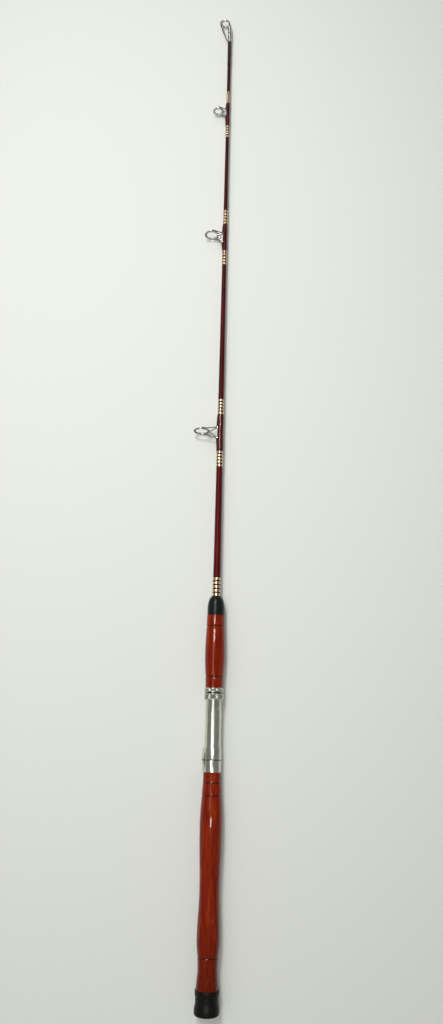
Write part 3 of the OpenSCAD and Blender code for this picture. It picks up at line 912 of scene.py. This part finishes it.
# %% Copies and modifiers
def edit_all(piece):
    """Enters edit mode on one piece with all of it selected."""
    deselect()
    piece.select_set(True)
    bpy.context.view_layer.objects.active = piece
    bpy.ops.object.mode_set(mode="EDIT")
    bpy.ops.mesh.select_mode(type="VERT")
    bpy.ops.mesh.select_all(action="SELECT")


def edit_none(piece, by="VERT"):
    """Enters edit mode on one piece with none of it selected, to select vertices or edges."""
    edit_all(piece)
    bpy.ops.mesh.select_mode(type=by)
    bpy.ops.mesh.select_all(action="DESELECT")


def merged_copy(node, name):
    """A CAD node's mesh in an object of its own, its loose triangles merged."""
    piece = bpy.data.objects.new(name, nodes[node].data.copy())
    bpy.context.scene.collection.objects.link(piece)
    edit_all(piece)
    bpy.ops.mesh.remove_doubles(threshold=MERGE)
    bpy.ops.mesh.customdata_custom_splitnormals_clear()
    bpy.ops.object.mode_set(mode="OBJECT")
    return piece


def apply_all(piece):
    deselect()
    piece.select_set(True)
    bpy.context.view_layer.objects.active = piece
    for modifier in list(piece.modifiers):
        bpy.ops.object.modifier_apply(modifier=modifier.name)


print(f"vertices nearer than {MERGE / MM} mm are merged")

# %% [markdown]
# ## Thread over the feet
# Where the thread covers a guide's foot it leaves the round. A hoop of vertices larger than the
# wrap is repeated along it by an Array, and a Shrinkwrap drops every vertex straight in onto the
# CAD wrap's outside. After that every second hoop is pulled in to make the turns, and the ends
# are carried down into the blank and bridged, so the piece is one closed skin.

# %% Foot wraps
HOOP_ROUND = 64
HOOP_LARGER = 1.5
END_INSET = 0.01
END_SHRINK = 0.55


def row_of_hoops(name, radius, low, step, count):
    """Hoops round the rod's axis, step apart, joined into a sleeve."""
    deselect()
    bpy.ops.mesh.primitive_circle_add(
        vertices=HOOP_ROUND, radius=radius * MM, location=(0, low * MM, 0),
        rotation=(math.pi / 2, 0, 0))
    piece = bpy.context.object
    piece.name = name
    bpy.ops.object.transform_apply(location=True, rotation=True, scale=True)
    edit_all(piece)
    bpy.ops.mesh.extrude_region_move(TRANSFORM_OT_translate={"value": (0, step * MM, 0)})
    bpy.ops.object.mode_set(mode="OBJECT")
    rows = piece.modifiers.new("turns", "ARRAY")
    rows.count = count
    rows.use_relative_offset = False
    rows.use_constant_offset = True
    rows.constant_offset_displace = (0, step * MM, 0)
    rows.use_merge_vertices = True
    rows.merge_threshold = MERGE
    apply_all(piece)
    edit_all(piece)
    face_outward()
    bpy.ops.object.mode_set(mode="OBJECT")
    return piece


def drop_onto(piece, node):
    """Moves every vertex straight in until it meets a CAD node."""
    target = merged_copy(node, "wrap_target")
    drop = piece.modifiers.new("drop", "SHRINKWRAP")
    drop.target = target
    drop.wrap_method = "PROJECT"
    drop.use_negative_direction = True
    drop.use_positive_direction = False
    apply_all(piece)
    bpy.data.objects.remove(target)


def pull_in_turns(piece, low, step):
    """Sinks every second hoop by the thread's ripple."""
    edit_none(piece)
    bpy.ops.object.mode_set(mode="OBJECT")
    for vertex in piece.data.vertices:
        vertex.select = round((vertex.co.y / MM - low) / step) % 2 == 0
    bpy.ops.object.mode_set(mode="EDIT")
    bpy.ops.transform.shrink_fatten(value=-RIPPLE * MM)
    bpy.ops.object.mode_set(mode="OBJECT")


def close_ends(piece):
    """Carries both open ends into the blank and bridges them there."""
    edit_none(piece, by="EDGE")
    bpy.ops.mesh.select_non_manifold()
    bpy.ops.mesh.extrude_region_move(TRANSFORM_OT_translate={"value": (0, 0, 0)})
    bpy.ops.transform.resize(value=(END_SHRINK, 1, END_SHRINK), center_override=(0, 0, 0))
    bpy.ops.mesh.bridge_edge_loops()
    face_outward()
    leave(piece, WRAP_SMOOTH)


def foot_wrap(node):
    """Thread wound over the blank and a guide's foot, in a node's place."""
    low, high = start(node) + END_INSET, end(node) - END_INSET
    hoops = 2 * round((high - low) / THREAD)
    step = (high - low) / hoops
    piece = row_of_hoops(node + "_wound", HOOP_LARGER * outer_radius(node), low, step, hoops)
    drop_onto(piece, node)
    pull_in_turns(piece, low, step)
    close_ends(piece)
    return finished(piece, (foot_thread,), "rod", "foot_thread", node)


for node in sorted(n for n in nodes if n.endswith(("_front_wrap", "_rear_wrap"))):
    foot_wrap(node)

# %% [markdown]
# ## Reel seat
# The seat's barrel is a thin tube with a cut screw thread over its front end and a keyway down the
# side away from the guides. The tube is turned first, a little thinner where the thread will be.

# %% Barrel
PITCH = 1.6
THREAD_DEPTH = 0.5
ROOT_TOLERANCE = 0.05
RUN_IN_PLAIN, RUN_IN_CUT, RUN_OUT = 0.3, 0.2, 0.4
barrel_radius = outer_radius("seat_barrel")
barrel_bore = inner_radius("seat_barrel")
root_radius = barrel_radius - THREAD_DEPTH
roots = [y for y, r in radii("seat_barrel") if abs(r - root_radius) < ROOT_TOLERANCE]
thread_start, thread_end = min(roots) - PITCH / 2, max(roots) + PITCH / 2
barrel_outline = [
    (barrel_bore, seat_start), (barrel_radius, seat_start),
    (barrel_radius, thread_start - RUN_IN_PLAIN), (root_radius, thread_start + RUN_IN_CUT),
    (root_radius, thread_end), (barrel_radius, thread_end + RUN_OUT),
    (barrel_radius, seat_end), (barrel_bore, seat_end), (barrel_bore, seat_start)]
barrel = turned("seat_barrel_turned", barrel_outline)
print(f"thread from {thread_start:.1f} to {thread_end:.1f} mm")

# %% [markdown]
# ### Screw thread
# The thread is a real helix: a small tooth carried round and along by a Screw modifier. It is left
# open at both ends, where its outline is found among the open edges and filled.

# %% Screw thread
CREST_FLAT = 0.12
TOOTH_START = 0.1
TOOTH_SINK = 0.1
TOOTH_APART = 0.04
HELIX_STEPS = 64
HELIX_SMOOTH = 30
END_BEHIND = -0.2
tooth_root = root_radius - TOOTH_SINK
tooth_start = thread_start + TOOTH_START
tooth_middle = tooth_start + PITCH / 2
tooth = [(tooth_root, tooth_start), (barrel_radius, tooth_middle - CREST_FLAT),
         (barrel_radius, tooth_middle + CREST_FLAT), (tooth_root, tooth_start + PITCH - TOOTH_APART)]
turns = round((thread_end - thread_start) / PITCH) - 1
ridge = lone_vertex("seat_thread_cut", *tooth[0])
draw(tooth + tooth[:1])
bpy.ops.object.mode_set(mode="OBJECT")
screw = ridge.modifiers.new("helix", "SCREW")
screw.axis = "Y"
screw.steps = screw.render_steps = HELIX_STEPS
screw.screw_offset = PITCH * MM
screw.iterations = turns
screw.use_merge_vertices = True
screw.merge_threshold = MERGE
apply_all(ridge)
for station in (tooth_start, tooth_start + turns * PITCH):
    edit_none(ridge)
    bpy.ops.mesh.select_non_manifold()
    bpy.ops.object.mode_set(mode="OBJECT")
    for vertex in ridge.data.vertices:
        vertex.select = vertex.select and END_BEHIND < vertex.co.y / MM - station < PITCH
    bpy.ops.object.mode_set(mode="EDIT")
    bpy.ops.mesh.edge_face_add()
    bpy.ops.object.mode_set(mode="OBJECT")
edit_all(ridge)
face_outward()
leave(ridge, HELIX_SMOOTH)
print(f"{turns} turns of {PITCH} mm")

# %% [markdown]
# ### Keyway
# The washer's and the hood's tongues slide in the keyway, so neither can turn on the seat. A box is
# cut from the tube and from the thread by a Boolean, before both are finished.

# %% Keyway
KEYWAY_WIDTH = 3
CUTTER_HEIGHT = 4
CUT_BEYOND = 2
keyway_start = end("fixed_hood")
keyway_end = seat_end + CUT_BEYOND


def cut_keyway(piece):
    """Cuts the slot along the side away from the guides."""
    deselect()
    bpy.ops.mesh.primitive_cube_add(
        size=1, location=(barrel_radius * MM, (keyway_start + keyway_end) / 2 * MM, 0),
        scale=(CUTTER_HEIGHT * MM, (keyway_end - keyway_start) * MM, KEYWAY_WIDTH * MM))
    cutter = bpy.context.object
    bpy.ops.object.transform_apply(location=True, rotation=True, scale=True)
    slot = piece.modifiers.new("keyway", "BOOLEAN")
    slot.operation = "DIFFERENCE"
    slot.solver = "EXACT"
    slot.object = cutter
    apply_all(piece)
    bpy.data.objects.remove(cutter)


for piece in (barrel, ridge):
    cut_keyway(piece)
finished(barrel, (seat_plate,), "rod", "seat_metal", "seat_barrel")
finished(ridge, (seat_plate,), "rod", "seat_metal")

# %% [markdown]
# ## Hoods
# The two hoods are pressed from sheet, with a dome that takes the reel's foot. Their CAD shape is
# right, so a merged copy is kept and only the mouths are eased. Where the two hoods meet, a rounded
# lip painted near-black, as shade, turns the hairline between them into the dark line that one sees.

# %% Hoods
LIP = 0.55
LIP_SEGMENTS = 3
LIP_SHADE_REACH = 1.1
MOUTH_SHARPNESS = 50
IN_PLANE = 0.01


def eased_hood(node, mouth, body):
    """A copy of a hood whose sharp edges in the mouth's plane are rounded."""
    piece = merged_copy(node, node + "_pressed")
    edit_none(piece, by="EDGE")
    bpy.ops.mesh.edges_select_sharp(sharpness=math.radians(MOUTH_SHARPNESS))
    bpy.ops.object.mode_set(mode="OBJECT")
    points = piece.data.vertices
    for edge in piece.data.edges:
        in_mouth = all(abs(points[v].co.y / MM - mouth) < IN_PLANE for v in edge.vertices)
        edge.select = edge.select and in_mouth
    bpy.ops.object.mode_set(mode="EDIT")
    bpy.ops.mesh.bevel(
        offset=LIP * MM, segments=LIP_SEGMENTS, affect="EDGES", clamp_overlap=False)
    leave(piece)
    finished(piece, (seat_plate, lip_painted_shade), body, "seat_metal", node)
    # Painted shade: the faces round the mouth take the near-black plate.
    paint(piece, mouth - LIP_SHADE_REACH * LIP, mouth + LIP_SHADE_REACH * LIP, 1)


eased_hood("fixed_hood", end("fixed_hood"), "rod")
eased_hood("sliding_hood", start("sliding_hood"), "sliding_hood")

# %% [markdown]
# ## Guide rings
# A guide is two rings in one: an outer wire that the legs are brazed to, and a hard polished
# lining inside it that the line runs over. Both are drawn as one outline, a large bead and a
# smaller one with a waist between them, and spun about the guide's own axis.

# %% Rings
RING_ROUND = 80
RING_SMOOTH = 40
LINING_BEAD = 0.95
LINING_OFFSET = 0.75
WIRE_OPENS = 140
LINING_OPENS = 50


def guide_ring(node):
    """A lined ring in the place of a node's plain one."""
    low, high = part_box(node)
    middle_x = (low.x + high.x) / 2 / MM
    middle_y = (low.y + high.y) / 2 / MM
    ring_radius = (high.x - low.x) / 2 / MM
    bead = (high.y - low.y) / 2 / MM
    wire = ring_radius - bead
    lining = wire - bead - LINING_BEAD * LINING_OFFSET
    outline = arc(wire, middle_y, bead, -WIRE_OPENS, WIRE_OPENS, count=14)
    outline += arc(lining, middle_y, LINING_BEAD, LINING_OPENS, 360 - LINING_OPENS, count=12)
    piece = turned(node + "_lined", outline + outline[:1], RING_ROUND, RING_SMOOTH, middle_x)
    return finished(piece, (ring_chrome,), "rod", "guide_chrome", node)


for node in sorted(n for n in nodes if n.endswith("_ring")):
    guide_ring(node)

# %% [markdown]
# ## Knurled nuts
# A knurl is two sets of grooves that cross. On a grid of faces it appears when every second vertex
# is raised, like the black squares of a chessboard, and each face is split between its two low
# corners: the high vertices become the points of diamonds.

# %% Nuts
KNURL_COLUMNS = 92
KNURL_DEPTH = 0.42
KNURL_ROW = 1.0
KNURL_SMOOTH = 25
RIM = 1.1
RIM_GAP = 0.3
RIM_DROP = 0.15
CHAMFER, CHAMFER_LENGTH = 0.9, 0.6
BORE_EASE = 0.3
NEAR_VALLEY = 0.02


def nut_blank(node, valley, grid_low, grid_high, rows):
    """The nut before it is knurled: rims, and between them rows of faces to raise."""
    low, high = start(node), end(node)
    radius, bore = outer_radius(node), inner_radius(node)
    rim = radius - RIM_DROP
    grid = [(valley, grid_low + (grid_high - grid_low) * n / rows) for n in range(rows + 1)]
    outline = [(bore, low + BORE_EASE), (bore + BORE_EASE, low), (radius - CHAMFER, low),
               (rim, low + CHAMFER_LENGTH), (rim, low + RIM)] + grid
    outline += [(rim, high - RIM), (rim, high - CHAMFER_LENGTH), (radius - CHAMFER, high),
                (bore + BORE_EASE, high), (bore, high - BORE_EASE), (bore, low + BORE_EASE)]
    return turned(node + "_knurled", outline, KNURL_COLUMNS, KNURL_SMOOTH)


def knurled(node):
    """A nut with its diamonds raised, on the body of its own name."""
    valley = outer_radius(node) - KNURL_DEPTH
    grid_low, grid_high = start(node) + RIM + RIM_GAP, end(node) - RIM - RIM_GAP
    rows = round((grid_high - grid_low) / KNURL_ROW)
    piece = nut_blank(node, valley, grid_low, grid_high, rows)
    edit_none(piece)
    bpy.ops.object.mode_set(mode="OBJECT")
    for vertex in piece.data.vertices:
        place = vertex.co / MM
        row = (place.y - grid_low) * rows / (grid_high - grid_low)
        column = math.atan2(place.z, place.x) * KNURL_COLUMNS / (2 * math.pi)
        in_valley = abs(math.hypot(place.x, place.z) - valley) < NEAR_VALLEY
        on_grid = in_valley and 0.5 < row < rows - 0.5
        vertex.select = on_grid and (round(row) + round(column)) % 2 == 0
    bpy.ops.object.mode_set(mode="EDIT")
    grow = outer_radius(node) / valley
    bpy.ops.transform.resize(value=(grow, 1, grow), center_override=(0, 0, 0))
    bpy.ops.mesh.select_all(action="SELECT")
    bpy.ops.mesh.quads_convert_to_tris(quad_method="SHORTEST_DIAGONAL")
    leave(piece, KNURL_SMOOTH)
    return finished(piece, (knurl_plate,), node, "knurled_metal", node)


knurled("lock_nut")
knurled("jam_nut")
